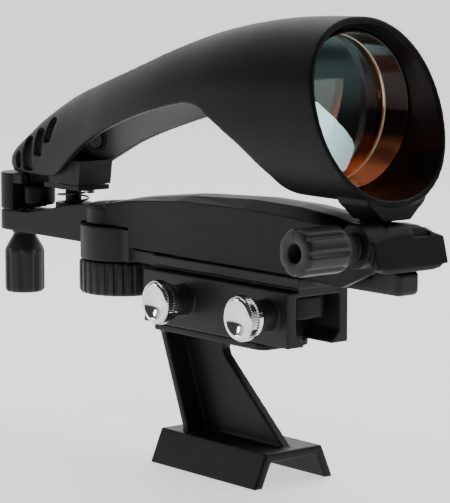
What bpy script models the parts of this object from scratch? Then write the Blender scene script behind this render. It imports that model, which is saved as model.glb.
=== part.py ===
"""Reflex finder scope on its dovetail bracket, built as separate pieces.

Frame: +X is the optical axis toward the sky, +Z is up, +Y is the left side seen from behind.
The origin is the middle of the dovetail foot's base. Sizes below are in millimetres.
"""

import math

import bmesh
import bpy
from mathutils import Matrix, Vector

MM = 0.001
GAP = 0.3                      # gap kept between pieces that touch
MERGE = 0.00005                # weld distance, metres

# dovetail foot and pedestal
FOOT_REAR_X = -23.6
FOOT_FRONT_X = 22.7
FOOT_BASE_HALF = 13.9
FOOT_TOP_HALF = 9.9
FOOT_HEIGHT = 9.3
FOOT_LEG = 2.7
FOOT_ROOF = 2.5
WEB_HALF = 1.4
FLANGE_HALF = 7.7
RAIL_HALF = 7.2
RAIL_NECK_HALF = 4.6
RAIL_PLATE_HALF = 9.0
RAIL_PLATE_FRONT_X = 19.6
RAIL_BASE_Z = 36.8
RAIL_SHOULDER_Z = 42.4
RAIL_TOP_Z = 52.2
RAIL_REAR_X = -28.0
RAIL_NECK_FRONT_X = 20.5
RAIL_FRONT_X = 30.0

# clamp that slides on the rail
CLAMP_REAR_X = -30.4
CLAMP_FRONT_X = 32.0
CLAMP_HALF = 10.7
CLAMP_INNER_HALF = 7.7
CLAMP_BASE_Z = 39.2
CLAMP_TOP_Z = 54.1
CEILING_Z = 52.6
DECK_BASE_Z = 55.4
DECK_TOP_Z = 58.1
DECK_HALF = 9.0
DECK_REAR_X = -29.0
DECK_FRONT_X = 34.5
THUMB_X = (-11.3, 24.4)
THUMB_Z = 47.6
THUMB_BOSS_R = 4.3
THUMB_BOSS_Y = -15.8
THUMB_HEAD_R = 6.2
THUMB_SHANK_R = 1.9

# azimuth pivot, its housing, and the brightness dial under it
PIVOT_X = -54.2
HOUSING_R = 12.7
HOUSING_FRONT_R = 15.0
HOUSING_FRONT_HALF = 7.9
HOUSING_TOP_Z = 64.0
HOUSING_BASE_Z = 54.1
SPIGOT_R = 11.35
SPIGOT_BASE_Z = 45.7
CELL_WELL_R = 10.35
CELL_WELL_TOP_Z = 60.2
DIAL_R = 13.1
DIAL_BASE_Z = 44.0
DIAL_TOP_Z = 53.7
COIN_R = 10.0
COIN_BASE_Z = 48.4
COIN_HEIGHT = 3.2

# tongue of the clamp that the azimuth screw works on
TONGUE_HALF = 3.7
UPRIGHT_HALF = 3.1
TONGUE_BASE_Z = 56.5
TONGUE_FRONT_X = 66.9

# upper arm
HUB_R = 10.8
HUB_BASE_Z = 64.4
HUB_TOP_Z = 69.9
ARM_HALF = 8.2
ARM_BASE_Z = 58.5
TAIL_HALF = 7.1
TAIL_BASE_Z = 57.8
TAIL_TOP_Z = 63.7
NOSE_SLANT = 0.27
PIN_X = 54.0
PIN_Z = 70.2
PIN_R = 1.25

# adjusting knobs and screws
KNOB_R = 6.15
KNOB_LENGTH = 19.2
SCREW_R = 1.5
HOLE_R = 1.9
AZ_X = 60.6
AZ_Z = 69.6
AZ_BOSS_R = 5.7
AZ_BOSS_Y = -13.6
ALT_X = -105.6
YOKE_R = 7.1
YOKE_BASE_Z = 64.2
YOKE_TOP_Z = 75.3
YOKE_PRONG_Z = 72.3
TOE_X = -97.1
TOE_R = 4.8

# head: hood, rails and lens
RIM_X = 55.4
RIM_TILT = math.radians(18.5)
HOOD_Z = 103.0
LENS_X = 34.3
LENS_RING_FRONT_X = 43.9
LENS_Z = 102.6
LENS_TILT = math.radians(1.0)
LENS_R = 20.4
LENS_CURVE_R = 232.0
LENS_THICKNESS = 3.2
POST_X = -79.3

RED_TINT = (0.10, 0.02, 0.015, 1.0)
BLACK = (0.012, 0.012, 0.013, 1.0)
CHARCOAL = (0.022, 0.022, 0.024, 1.0)
CHROME = (0.80, 0.80, 0.82, 1.0)
STEEL = (0.48, 0.48, 0.50, 1.0)
BRASS = (0.60, 0.44, 0.18, 1.0)
BOARD_GREEN = (0.03, 0.16, 0.06, 1.0)
GLASS = (0.75, 0.85, 0.88, 1.0)
WHITE = (0.80, 0.80, 0.78, 1.0)


def clear_scene():
    for obj in list(bpy.data.objects):
        bpy.data.objects.remove(obj, do_unlink=True)


def collection(name):
    made = bpy.data.collections.new(name)
    bpy.context.scene.collection.children.link(made)
    return made


def material(name, colour, roughness, metallic=0.0, transmission=0.0):
    made = bpy.data.materials.new(name)
    made.use_nodes = True
    shader = made.node_tree.nodes["Principled BSDF"]
    shader.inputs["Base Color"].default_value = colour
    shader.inputs["Roughness"].default_value = roughness
    shader.inputs["Metallic"].default_value = metallic
    shader.inputs["Transmission Weight"].default_value = transmission
    made.diffuse_color = colour
    return made


def metres(point):
    return Vector(point) * MM


def add_mesh(name, bm, rotation=(0.0, 0.0, 0.0), location=(0.0, 0.0, 0.0)):
    """Turn a bmesh in millimetres into an object placed in metres."""
    bmesh.ops.scale(bm, vec=(MM, MM, MM), verts=bm.verts)
    mesh = bpy.data.meshes.new(name)
    bm.to_mesh(mesh)
    bm.free()
    obj = bpy.data.objects.new(name, mesh)
    obj.rotation_euler = rotation
    obj.location = metres(location)
    CUTTERS.objects.link(obj)
    obj.hide_render = True
    obj.display_type = "WIRE"
    return obj


def box(name, x, y, z):
    """A box between pairs of limits along each axis."""
    bm = bmesh.new()
    bmesh.ops.create_cube(bm, size=1.0)
    size = (x[1] - x[0], y[1] - y[0], z[1] - z[0])
    centre = ((x[0] + x[1]) / 2, (y[0] + y[1]) / 2, (z[0] + z[1]) / 2)
    bmesh.ops.scale(bm, vec=size, verts=bm.verts)
    return add_mesh(name, bm, location=centre)


TO_X = Matrix.Rotation(math.pi / 2, 3, "Y")
TO_Y = Matrix.Rotation(-math.pi / 2, 3, "X")


def cylinder(name, radius, start, end, centre, axis="Z", segments=32, end_radius=None):
    """A cylinder or cone from start to end along an axis; centre gives the other two coordinates."""
    bm = bmesh.new()
    last = radius if end_radius is None else end_radius
    bmesh.ops.create_cone(bm, cap_ends=True, segments=segments, radius1=radius, radius2=last,
                          depth=end - start)
    middle = (start + end) / 2
    places = {"X": (middle, *centre), "Y": (centre[0], middle, centre[1]), "Z": (*centre, middle)}
    if axis == "X":
        bmesh.ops.rotate(bm, verts=bm.verts, matrix=TO_X)
    if axis == "Y":
        bmesh.ops.rotate(bm, verts=bm.verts, matrix=TO_Y)
    return add_mesh(name, bm, location=places[axis])


def loft(name, rings, rotation=(0.0, 0.0, 0.0), location=(0.0, 0.0, 0.0)):
    """A closed solid through rings of points, each ring with the same number of points."""
    bm = bmesh.new()
    rows = [[bm.verts.new(point) for point in ring] for ring in rings]
    count = len(rings[0])
    for lower, upper in zip(rows, rows[1:]):
        for i in range(count):
            j = (i + 1) % count
            bm.faces.new((lower[i], lower[j], upper[j], upper[i]))
    bm.faces.new(list(reversed(rows[0])))
    bm.faces.new(rows[-1])
    bmesh.ops.recalc_face_normals(bm, faces=bm.faces)
    return add_mesh(name, bm, rotation, location)


def prism(name, outline, start, end, plane="XZ"):
    """A flat outline given thickness: XZ runs along Y, YZ along X, XY along Z."""
    curve = bpy.data.curves.new(name, "CURVE")
    curve.dimensions = "2D"
    curve.fill_mode = "BOTH"
    curve.extrude = (end - start) / 2 * MM
    spline = curve.splines.new("POLY")
    spline.points.add(len(outline) - 1)
    for point, (u, v) in zip(spline.points, outline):
        point.co = (u * MM, v * MM, 0.0, 1.0)
    spline.use_cyclic_u = True
    drawn = bpy.data.objects.new(name + "_outline", curve)
    middle = (start + end) / 2 * MM
    frames = {
        "XZ": Matrix(((1, 0, 0, 0), (0, 0, -1, middle), (0, 1, 0, 0), (0, 0, 0, 1))),
        "YZ": Matrix(((0, 0, 1, middle), (1, 0, 0, 0), (0, 1, 0, 0), (0, 0, 0, 1))),
        "XY": Matrix.Translation((0, 0, middle)),
    }
    CUTTERS.objects.link(drawn)
    drawn.matrix_world = frames[plane]
    bpy.context.view_layer.update()
    depsgraph = bpy.context.evaluated_depsgraph_get()
    mesh = bpy.data.meshes.new_from_object(drawn.evaluated_get(depsgraph))
    bm = bmesh.new()
    bm.from_mesh(mesh)
    bmesh.ops.remove_doubles(bm, verts=bm.verts, dist=MERGE / 5)
    bmesh.ops.recalc_face_normals(bm, faces=bm.faces)
    bm.to_mesh(mesh)
    bm.free()
    obj = bpy.data.objects.new(name, mesh)
    obj.matrix_world = drawn.matrix_world
    CUTTERS.objects.link(obj)
    obj.hide_render = True
    obj.display_type = "WIRE"
    bpy.data.objects.remove(drawn, do_unlink=True)
    return obj


def turned(name, profile, centre, axis="Z", segments=48, tilt=0.0):
    """A profile of (radius, height) pairs, outer side top to bottom, turned round an axis."""
    mesh = bpy.data.meshes.new(name)
    points = [(radius * MM, 0.0, height * MM) for radius, height in profile]
    edges = [(i, i + 1) for i in range(len(points) - 1)]
    if profile[0][0] > 0.0:
        edges.append((len(points) - 1, 0))
    mesh.from_pydata(points, edges, [])
    obj = bpy.data.objects.new(name, mesh)
    screw = obj.modifiers.new("Turn", "SCREW")
    screw.axis = "Z"
    screw.angle = math.tau
    screw.steps = segments
    screw.render_steps = segments
    screw.use_merge_vertices = True
    screw.merge_threshold = MERGE
    screw.use_smooth_shade = False
    obj.location = metres(centre)
    turns = {"X": (0.0, math.pi / 2 - tilt, 0.0), "Y": (-math.pi / 2, 0.0, 0.0), "Z": (0.0, 0.0, 0.0)}
    obj.rotation_euler = turns[axis]
    CUTTERS.objects.link(obj)
    obj.hide_render = True
    obj.display_type = "WIRE"
    return obj


def combine(obj, other, operation):
    """Cut, join or intersect an object with another that stays as a hidden guide."""
    boolean = obj.modifiers.new(operation.title() + " " + other.name, "BOOLEAN")
    boolean.operation = operation
    boolean.object = other
    boolean.solver = "EXACT"


def cut(obj, *others):
    for other in others:
        combine(obj, other, "DIFFERENCE")


def join(obj, *others):
    for other in others:
        combine(obj, other, "UNION")


def finish(obj, look, parent=None, bevel=0.0):
    """Move a finished piece into the part's collection, with its material and joint empty."""
    CUTTERS.objects.unlink(obj)
    PIECES.objects.link(obj)
    obj.hide_render = False
    obj.display_type = "TEXTURED"
    if bevel > 0.0:
        rounding = obj.modifiers.new("Rounded edges", "BEVEL")
        rounding.width = bevel * MM
        rounding.segments = 1
        rounding.limit_method = "ANGLE"
        rounding.angle_limit = math.radians(50)
    obj.data.materials.append(look)
    obj.data.shade_smooth()
    obj.data.set_sharp_from_angle(angle=math.radians(35))
    if parent is not None:
        obj.parent = parent
        obj.matrix_parent_inverse = Matrix.Translation(-parent.location)
    return obj


def joint_empty(name, location, parent=None):
    empty = bpy.data.objects.new(name, None)
    empty.empty_display_size = 0.01
    empty.location = metres(location)
    PIECES.objects.link(empty)
    if parent is not None:
        empty.parent = parent
        empty.matrix_parent_inverse = Matrix.Translation(-parent.location)
    return empty


def fluted(name, rows, flutes, steps, centre=(0.0, 0.0, 0.0), axis="Z", bore=None):
    """A round grip with scooped flutes. Rows are (height, radius, flute depth), top to bottom."""
    count = flutes * steps
    rings = []
    for height, radius, depth in rows:
        ring = []
        for i in range(count):
            angle = math.tau * i / count
            scoop = max(0.0, math.cos(flutes * angle)) ** 2
            reach = radius - depth * scoop
            ring.append((reach * math.cos(angle), reach * math.sin(angle), height))
        rings.append(ring)
    if bore is not None:
        for height, radius in bore:
            rings.append([(radius * math.cos(math.tau * i / count),
                           radius * math.sin(math.tau * i / count), height)
                          for i in range(count)])
    turns = {"Z": (0.0, 0.0, 0.0), "Y": (-math.pi / 2, 0.0, 0.0), "-Y": (math.pi / 2, 0.0, 0.0)}
    return loft(name, rings, rotation=turns[axis], location=centre)


def arc(cx, cy, radius, start, end, steps):
    """Points of an arc, angles in degrees."""
    points = []
    for i in range(steps + 1):
        angle = math.radians(start + (end - start) * i / steps)
        points.append((cx + radius * math.cos(angle), cy + radius * math.sin(angle)))
    return points


def mounting_bracket():
    """Dovetail foot, pedestal and the male rail that the clamp slides on, one casting."""
    base, top = FOOT_BASE_HALF, FOOT_TOP_HALF
    roof = FOOT_HEIGHT - FOOT_ROOF
    inner_base = base - FOOT_LEG
    inner_top = top - FOOT_LEG + 1.0
    foot_section = [(-base, 0), (-inner_base, 0), (-inner_top, roof), (inner_top, roof),
                    (inner_base, 0), (base, 0), (top, FOOT_HEIGHT), (-top, FOOT_HEIGHT)]
    bracket = prism("mounting_bracket", foot_section, FOOT_REAR_X, FOOT_FRONT_X, "YZ")
    web = prism("pedestal_web", [(-15.0, 8.0), (21.2, 8.0), (-5.6, 31.6), (-6.4, 33.6), (-5.2, 35.8),
                                 (-2.2, 37.2), (-26.0, 37.2)], -WEB_HALF, WEB_HALF, "XZ")
    flange = prism("pedestal_flange", [(-15.8, 8.0), (-13.2, 8.0), (-24.6, 37.2), (-27.2, 37.2)],
                   -FLANGE_HALF, FLANGE_HALF, "XZ")
    plate_end = RAIL_PLATE_FRONT_X - 3.0
    plate_side = RAIL_PLATE_HALF - 3.0
    plate_plan = [(RAIL_REAR_X, -RAIL_PLATE_HALF)]
    plate_plan += arc(plate_end, -plate_side, 3.0, -90, 0, 5)
    plate_plan += arc(plate_end, plate_side, 3.0, 0, 90, 5)
    plate_plan += [(RAIL_REAR_X, RAIL_PLATE_HALF)]
    plate = prism("rail_plate", plate_plan, RAIL_BASE_Z, CLAMP_BASE_Z - GAP, "XY")
    neck = RAIL_NECK_HALF
    neck_section = [(-neck, 38.0), (neck, 38.0), (neck, 39.4),
                    (RAIL_HALF, RAIL_SHOULDER_Z), (RAIL_HALF, 46.9), (-RAIL_HALF, 46.9),
                    (-RAIL_HALF, RAIL_SHOULDER_Z), (-neck, 39.4)]
    rail_neck = prism("rail_neck", neck_section, RAIL_REAR_X, RAIL_NECK_FRONT_X, "YZ")
    corner = 5.6
    front = RAIL_FRONT_X - corner
    side = RAIL_HALF - corner
    plan = [(RAIL_REAR_X, -RAIL_HALF)]
    plan += arc(front, -side, corner, -90, 0, 8)
    plan += arc(front, side, corner, 0, 90, 8)
    plan += [(RAIL_REAR_X, RAIL_HALF)]
    rail = prism("rail_head", plan, 46.2, RAIL_TOP_Z, "XY")
    groove = box("rail_groove", (RAIL_REAR_X - 1, RAIL_FRONT_X - 8), (-3.2, 3.2), (48.0, RAIL_TOP_Z + 1))
    join(bracket, web, flange, plate, rail_neck, rail)
    cut(bracket, groove)
    return finish(bracket, LOOKS["black_metal"])


def tongue_ring(x, top, inset):
    """Cross-section of the tongue, with its two lower corners rounded."""
    half, base = TONGUE_HALF - inset, TONGUE_BASE_Z + inset
    right = [(half - 1.0, base), (half - 0.3, base + 0.3), (half, base + 1.0), (half, top)]
    left = [(-y, z) for y, z in reversed(right)]
    return [(x, y, z) for y, z in right + left]


def clamp_body(parent):
    """Female dovetail with the pivot housing behind it and the azimuth tongue in front."""
    half, inner, lip = CLAMP_HALF, CLAMP_INNER_HALF, 4.9
    right = [(lip, CLAMP_BASE_Z), (half, CLAMP_BASE_Z), (half, CLAMP_TOP_Z), (6.9, CLAMP_TOP_Z),
             (6.9, DECK_BASE_Z + 0.5)]
    left = [(-y, z) for y, z in reversed(right)]
    inside = [(-lip, CLAMP_BASE_Z + 0.5), (-inner, 42.7), (-inner, CEILING_Z), (inner, CEILING_Z),
              (inner, 42.7), (lip, CLAMP_BASE_Z + 0.5)]
    body = prism("clamp_body", right + left + inside, CLAMP_REAR_X, CLAMP_FRONT_X, "YZ")
    deck = box("deck", (DECK_REAR_X, DECK_FRONT_X), (-DECK_HALF, DECK_HALF), (DECK_BASE_Z, DECK_TOP_Z))
    link = box("housing_link", (PIVOT_X + 6, DECK_REAR_X + 2), (-6.5, 6.5), (HOUSING_BASE_Z + 0.4, DECK_TOP_Z))
    tongue = loft("azimuth_tongue", [
        tongue_ring(DECK_FRONT_X - 2, 60.4, 0.0), tongue_ring(56.6, 60.4, 0.0), tongue_ring(57.0, 62.4, 0.0),
        tongue_ring(TONGUE_FRONT_X - 1.2, 62.4, 0.0), tongue_ring(TONGUE_FRONT_X - 0.4, 62.2, 0.3),
        tongue_ring(TONGUE_FRONT_X, 61.6, 1.0)])
    upright = box("azimuth_upright", (57.2, 63.8), (-UPRIGHT_HALF, UPRIGHT_HALF), (61.0, 72.4))
    turn = math.degrees(math.asin(HOUSING_FRONT_HALF / HOUSING_FRONT_R))
    plan = [(PIVOT_X - 3.1, -HOUSING_FRONT_HALF)] + arc(PIVOT_X, 0, HOUSING_FRONT_R, -turn, turn, 10)
    plan += [(PIVOT_X - 3.1, HOUSING_FRONT_HALF)]
    front = prism("housing_front", plan, HOUSING_BASE_Z + 0.2, HOUSING_TOP_Z - 0.2, "XY")
    housing = turned("pivot_housing", [
        (0.0, HOUSING_TOP_Z), (HOUSING_R, HOUSING_TOP_Z), (HOUSING_R, HOUSING_BASE_Z),
        (SPIGOT_R, HOUSING_BASE_Z), (SPIGOT_R, SPIGOT_BASE_Z), (0.0, SPIGOT_BASE_Z)],
        (PIVOT_X, 0, 0), segments=56)
    well = cylinder("cell_well", CELL_WELL_R, SPIGOT_BASE_Z - 2, CELL_WELL_TOP_Z, (PIVOT_X, 0), segments=54)
    bolt_hole = cylinder("bolt_hole", 2.4, 57.0, 67.0, (PIVOT_X, 0), segments=30)
    nut_hole = cylinder("nut_seat", 2.4, -5.0, 5.0, (AZ_X, AZ_Z), "Y", 24)
    join(body, deck, housing, front, link, tongue, upright)
    for x in THUMB_X:
        join(body, cylinder("screw_boss", THUMB_BOSS_R, THUMB_BOSS_Y, -inner - 1, (x, THUMB_Z), "Y"))
    cut(body, well, bolt_hole, nut_hole)
    for x in THUMB_X:
        cut(body, cylinder("screw_hole", THUMB_SHANK_R + 0.4, THUMB_BOSS_Y - 2, -inner + 1.5,
                           (x, THUMB_Z), "Y", 24))
    return finish(body, LOOKS["charcoal_plastic"], parent)


def clamp_inner_pieces(parent):
    """What the clamp carries inside its housing and its tongue."""
    insert = turned("azimuth_nut", [(2.1, 2.9), (2.1, -2.9), (SCREW_R + 0.25, -2.9), (SCREW_R + 0.25, 2.9)],
                    (AZ_X, 0, AZ_Z), "Y", 24)
    finish(insert, LOOKS["brass"], parent)
    nut = cylinder("pivot_nut", 3.6, 57.0, 59.8, (PIVOT_X, 0), segments=6)
    cut(nut, cylinder("pivot_nut_hole", 2.35, 56.0, 62.0, (PIVOT_X, 0)))
    finish(nut, LOOKS["steel"], parent)
    board = cylinder("circuit_board", 9.8, 54.6, 55.8, (PIVOT_X, 0), segments=40)
    finish(board, LOOKS["board"], parent)
    contact = turned("battery_contact", [(6.0, 54.2), (6.4, 53.8), (3.4, 52.1), (2.2, 52.0), (2.2, 52.4),
                                         (3.2, 52.5)],
                     (PIVOT_X, 0, 0), segments=24)
    finish(contact, LOOKS["brass"], parent)
    top = COIN_BASE_Z + COIN_HEIGHT
    cell = turned("coin_cell", [(0, top), (8.6, top), (8.9, top - 0.5), (COIN_R, top - 0.6),
                                (COIN_R, COIN_BASE_Z + 0.2), (COIN_R - 0.2, COIN_BASE_Z), (0, COIN_BASE_Z)],
                  (PIVOT_X, 0, 0), segments=40)
    finish(cell, LOOKS["steel"], parent)


def thumbscrew(name, x, parent):
    """Knurled head with a dished face, a neck, and a shank that presses on the rail."""
    rows = [(-RAIL_HALF - GAP, THUMB_SHANK_R - 0.5, 0), (-RAIL_HALF - GAP - 0.8, THUMB_SHANK_R, 0),
            (THUMB_BOSS_Y - 0.4, THUMB_SHANK_R, 0), (THUMB_BOSS_Y - 0.4, 3.4, 0),
            (THUMB_BOSS_Y - 1.0, 3.4, 0), (THUMB_BOSS_Y - 1.0, THUMB_HEAD_R - 0.5, 0.0),
            (THUMB_BOSS_Y - 1.5, THUMB_HEAD_R, 0.35), (THUMB_BOSS_Y - 4.6, THUMB_HEAD_R, 0.35),
            (THUMB_BOSS_Y - 5.1, THUMB_HEAD_R - 0.5, 0.0), (THUMB_BOSS_Y - 6.0, 4.3, 0),
            (THUMB_BOSS_Y - 6.1, 3.4, 0), (THUMB_BOSS_Y - 5.3, 2.0, 0), (THUMB_BOSS_Y - 5.0, 0.6, 0)]
    placed = [(height, radius, depth) for height, radius, depth in rows]
    screw = fluted(name, placed, 24, 2, (x, 0, THUMB_Z), "Y")
    return finish(screw, LOOKS["chrome"], parent)


def brightness_dial(parent):
    """Ribbed ring that turns round the spigot of the housing."""
    rows = [(DIAL_TOP_Z, SPIGOT_R + GAP, 0), (DIAL_TOP_Z, DIAL_R - 0.9, 0), (DIAL_TOP_Z - 0.6, DIAL_R, 0.6),
            (DIAL_BASE_Z + 0.9, DIAL_R, 0.6), (DIAL_BASE_Z, DIAL_R - 1.0, 0)]
    outside = fluted("brightness_dial", rows, 30, 2, (PIVOT_X, 0, 0))
    bore = cylinder("dial_bore", SPIGOT_R + GAP + 0.05, DIAL_BASE_Z - 1, DIAL_TOP_Z + 1, (PIVOT_X, 0),
                    segments=60)
    cut(outside, bore)
    return finish(outside, LOOKS["charcoal_plastic"], parent)


def battery_cap(parent):
    """Screwed cap of the coin cell well, with a coin slot in its face."""
    flange = SPIGOT_BASE_Z - GAP
    cap = turned("battery_cap", [(0, 47.8), (10.0, 47.8), (10.0, flange), (11.2, flange), (11.2, 44.5),
                                 (10.8, 44.2), (0, 44.2)], (PIVOT_X, 0, 0), segments=48)
    cut(cap, box("coin_slot", (PIVOT_X - 7, PIVOT_X + 7), (-0.9, 0.9), (42.0, 45.4)))
    return finish(cap, LOOKS["charcoal_plastic"], parent)


def arm_ring(x, half, base, shoulder, crown, slant=0.0):
    """Cross-section of the upper arm: upright walls under a crowned top, leaning back by slant."""
    outline = [(-half, base), (half, base), (half, shoulder), (half * 0.55, crown - 0.35), (0.0, crown),
               (-half * 0.55, crown - 0.35), (-half, shoulder)]
    middle = (base + shoulder) / 2
    return [(x + slant * (middle - z), y, z) for y, z in outline]


def upper_arm(parent):
    """Arm that swings on the housing: hub, long cover in front, narrow tail behind, nose bar."""
    front = loft("upper_arm", [
        arm_ring(-50.5, 9.9, 58.9, 70.6, 71.4),
        arm_ring(-47.0, 9.1, 58.9, 71.2, 72.1),
        arm_ring(-43.0, 8.5, 58.8, 71.9, 72.8),
        arm_ring(-38.0, ARM_HALF, 58.8, 72.5, 73.5),
        arm_ring(-17.0, ARM_HALF, ARM_BASE_Z, 74.2, 75.9),
        arm_ring(11.0, ARM_HALF, ARM_BASE_Z, 74.5, 77.2),
        arm_ring(30.0, ARM_HALF, 58.4, 73.9, 76.8),
        arm_ring(43.0, 8.4, 57.9, 73.0, 75.6),
        arm_ring(50.0, 8.6, 57.5, 72.6, 74.5),
        arm_ring(56.0, 8.6, 60.0, 72.2, 74.6),
        arm_ring(61.0, 8.2, 62.2, 71.8, 74.9),
        arm_ring(64.2, 9.6, 63.2, 71.5, 74.6),
        arm_ring(65.6, 11.8, 63.8, 71.3, 73.6),
        arm_ring(67.6, 12.2, 64.2, 71.0, 72.4, NOSE_SLANT),
    ])
    hub = turned("arm_hub", [(0, HUB_TOP_Z + 0.3), (6.0, HUB_TOP_Z + 0.2), (HUB_R - 1.0, HUB_TOP_Z),
                             (HUB_R, HUB_TOP_Z - 1.0), (HUB_R, HUB_BASE_Z - 0.7), (0, HUB_BASE_Z - 0.7)],
                 (PIVOT_X, 0, 0), segments=56)
    tail_side = [(-56.0, 63.0), (-56.0, 69.4), (-66.0, 69.0), (-74.0, 67.9), (-93.0, 64.2),
                 (ALT_X, TAIL_TOP_Z), (ALT_X, TAIL_BASE_Z), (-62.0, TAIL_BASE_Z), (-62.0, 63.0)]
    tail = prism("arm_tail", tail_side, -TAIL_HALF, TAIL_HALF, "XZ")
    tail_end = cylinder("tail_end", TAIL_HALF, TAIL_BASE_Z, TAIL_TOP_Z, (ALT_X, 0), segments=40)
    boss = cylinder("azimuth_boss", AZ_BOSS_R, AZ_BOSS_Y, -6.0, (AZ_X, AZ_Z), "Y")
    spring_seat = cylinder("spring_seat", 5.4, 64.0, 68.15, (POST_X, 0))
    housing_clearance = cylinder("housing_clearance", HOUSING_R + 0.4, 50.0, HUB_BASE_Z, (PIVOT_X, 0),
                                 segments=56)
    reach = HOUSING_FRONT_R + 0.4
    front_plan = [(PIVOT_X - 1.0, -reach)] + arc(PIVOT_X, 0, reach, -90, 90, 28) + [(PIVOT_X - 1.0, reach)]
    front_clearance = prism("front_clearance", front_plan, 50.0, HUB_BASE_Z + 0.005, "XY")
    hollow = prism("arm_hollow", [(-37.0, 50.0), (-37.0, 70.2), (-17.0, 72.4), (11.0, 73.2), (30.0, 72.8),
                                  (43.0, 72.0), (48.6, 71.0), (48.6, 50.0)], -6.2, 6.2, "XZ")
    nose_hollow = box("nose_hollow", (48.0, 64.4), (-6.2, 6.2), (50.0, 73.0))
    lug_clearance = box("lug_clearance", (60.0, 75.0), (-6.2, 6.2), (50.0, 63.9))
    knuckle_slot = box("knuckle_slot", (50.6, 57.4), (-3.8, 3.8), (60.0, 80.0))
    pin_hole = cylinder("pin_hole", PIN_R + GAP, -12.0, 12.0, (PIN_X, PIN_Z), "Y", 20)
    screw_hole = cylinder("azimuth_hole", HOLE_R, -20.0, 20.0, (AZ_X, AZ_Z), "Y", 24)
    washer_seat = cylinder("washer_seat", 6.9, HUB_BASE_Z - 1, HUB_BASE_Z + 0.8, (PIVOT_X, 0))
    bolt_hole = cylinder("arm_bolt_hole", 2.4, 62.0, 73.0, (PIVOT_X, 0))
    head_seat = cylinder("bolt_head_seat", 4.6, 67.6, 73.0, (PIVOT_X, 0))
    altitude_hole = cylinder("altitude_hole", HOLE_R, 55.0, 66.0, (ALT_X, 0), segments=24)
    clip_seat = cylinder("clip_seat", 3.5, 62.0, 66.0, (ALT_X, 0))
    post_well = cylinder("post_well", 3.4, 60.3, 75.0, (POST_X, 0))
    nose_slot = box("nose_slot", (65.4, 66.5), (1.6, 7.6), (71.2, 76.0))
    join(front, hub, tail, tail_end, boss, spring_seat)
    cut(front, housing_clearance, front_clearance, hollow, nose_hollow, lug_clearance, knuckle_slot, pin_hole,
        screw_hole, washer_seat, bolt_hole, head_seat, altitude_hole, clip_seat, post_well, nose_slot)
    return finish(front, LOOKS["charcoal_plastic"], parent)


def arm_small_pieces(parent):
    """Pivot bolt and washer, and the pin that the head tilts on."""
    bolt = turned("pivot_bolt", [(0, 69.7), (3.6, 69.7), (4.2, 69.1), (4.2, 67.9), (2.0, 67.9), (2.0, 57.4),
                                 (0, 57.4)], (PIVOT_X, 0, 0), segments=32)
    cut(bolt, cylinder("bolt_socket", 1.5, 68.6, 71.0, (PIVOT_X, 0), segments=6))
    finish(bolt, LOOKS["steel"], parent)
    washer = turned("pivot_washer", [(6.6, 64.9), (6.6, 64.3), (2.4, 64.3), (2.4, 64.9)], (PIVOT_X, 0, 0),
                    segments=32)
    finish(washer, LOOKS["white_plastic"], parent)
    pin = cylinder("hinge_pin", PIN_R, -8.5, 8.5, (PIN_X, PIN_Z), "Y", 20)
    finish(pin, LOOKS["steel"], parent, bevel=0.25)


KNOB_ROWS = [(0.0, 3.75, 0.0), (-0.7, 3.75, 0.0), (-0.8, 3.3, 0.0), (-1.8, 3.5, 0.0), (-5.0, KNOB_R - 0.2, 0.0),
             (-6.2, KNOB_R, 0.7), (-KNOB_LENGTH + 1.0, KNOB_R, 0.7), (-KNOB_LENGTH, KNOB_R - 0.7, 0.2)]
KNOB_END_HOLE = [(-KNOB_LENGTH, 2.5), (-9.4, 2.5)]


def knob(name, centre, axis, parent):
    """Fluted grip with a conical neck, a hole in its end and a bore for its screw."""
    grip = fluted(name, KNOB_ROWS, 8, 6, centre, axis, KNOB_END_HOLE)
    if axis == "Z":
        bore = cylinder(name + "_bore", SCREW_R + GAP, centre[2] - 8.0, centre[2] + 1, centre[:2],
                        segments=24)
    else:
        bore = cylinder(name + "_bore", SCREW_R + GAP, centre[1] - 1.0, centre[1] + 8.0,
                        (centre[0], centre[2]), "Y", 24)
    cut(grip, bore)
    return finish(grip, LOOKS["charcoal_plastic"], parent)


def adjusting_screws(azimuth, altitude):
    """Both knobs with their screws and the clips that hold them in the arm."""
    azimuth_seat = AZ_BOSS_Y - 0.5
    mirrored = [(-height, radius, depth) for height, radius, depth in KNOB_ROWS]
    hole = [(-height, radius) for height, radius in KNOB_END_HOLE]
    grip = fluted("azimuth_knob", mirrored, 8, 6, (AZ_X, azimuth_seat, AZ_Z), "-Y", hole)
    cut(grip, cylinder("azimuth_bore", SCREW_R + GAP, azimuth_seat - 8.0, azimuth_seat + 1.0,
                       (AZ_X, AZ_Z), "Y", 24))
    finish(grip, LOOKS["charcoal_plastic"], azimuth)
    screw = cylinder("azimuth_screw", SCREW_R, azimuth_seat - 7.6, 12.6, (AZ_X, AZ_Z), "Y", 20)
    finish(screw, LOOKS["steel"], azimuth, bevel=0.3)
    clip = turned("azimuth_clip", [(3.3, 0.4), (3.3, -0.4), (SCREW_R + GAP, -0.4), (SCREW_R + GAP, 0.4)],
                  (AZ_X, 11.2, AZ_Z), "Y", 24)
    finish(clip, LOOKS["steel"], azimuth)
    altitude_seat = TAIL_BASE_Z - 0.5
    knob("altitude_knob", (ALT_X, 0.0, altitude_seat), "Z", altitude)
    screw = cylinder("altitude_screw", SCREW_R, altitude_seat - 7.6, 73.8, (ALT_X, 0), segments=20)
    finish(screw, LOOKS["steel"], altitude, bevel=0.3)
    clip = turned("altitude_clip", [(3.1, 63.1), (3.1, 62.4), (SCREW_R + GAP, 62.4), (SCREW_R + GAP, 63.1)],
                  (ALT_X, 0, 0), segments=24)
    finish(clip, LOOKS["steel"], altitude)


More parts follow.
